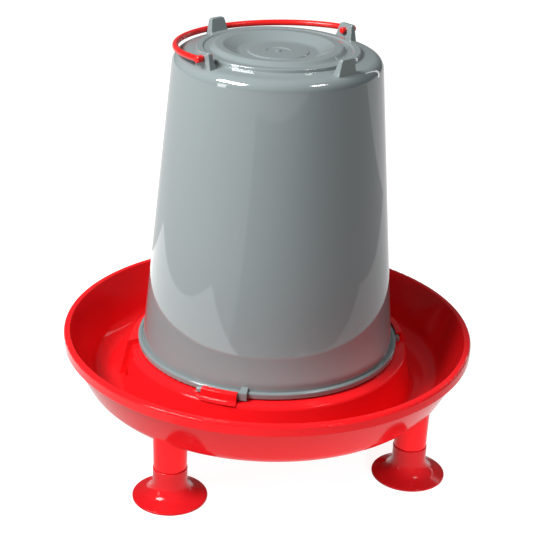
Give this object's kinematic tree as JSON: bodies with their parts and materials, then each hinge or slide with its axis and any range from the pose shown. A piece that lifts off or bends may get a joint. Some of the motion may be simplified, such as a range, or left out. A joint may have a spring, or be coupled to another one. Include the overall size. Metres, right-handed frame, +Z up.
{
  "type": "poultry drinker",
  "caption": "Standing poultry drinker: an inverted tapered fount twist-locked onto a round drinking trough with push-in feet and a swinging bail.",
  "frame": {"origin": "on the fount's axis at floor level, under the middle of the trough", "axes": "+Z up along the fount's axis; the four legs stand at 45, 135, 225 and 315 degrees round it, and -Y is the side between the two front feet"},
  "size_m": [0.37, 0.37, 0.3717],
  "materials": {
    "fount_grey": "glossy mid-grey injection-moulded polypropylene",
    "trough_red": "glossy bright red injection-moulded polypropylene",
    "bail_red": "satin-gloss red moulded plastic rod",
    "foot_red": "glossy deep red moulded plastic"
  },
  "bodies": {
    "trough": {"base_trough": "trough_red", "foot_front_left": "foot_red", "foot_front_right": "foot_red", "foot_back_left": "foot_red", "foot_back_right": "foot_red"},
    "fount": {"fount": "fount_grey"},
    "bail": {"carrying_bail": "bail_red"}
  },
  "joints": [
    {"name": "fount_twist", "type": "hinge", "parent": "trough", "child": "fount", "pos_m": [0, 0, 0.0895], "axis": [0, 0, 1], "range_deg": [0, 21]},
    {"name": "bail_swing", "type": "hinge", "parent": "fount", "child": "bail", "pos_m": [0, 0, 0.3664], "axis": [0.8755, 0.4833, 0], "range_deg": [0, 187]}
  ]
}
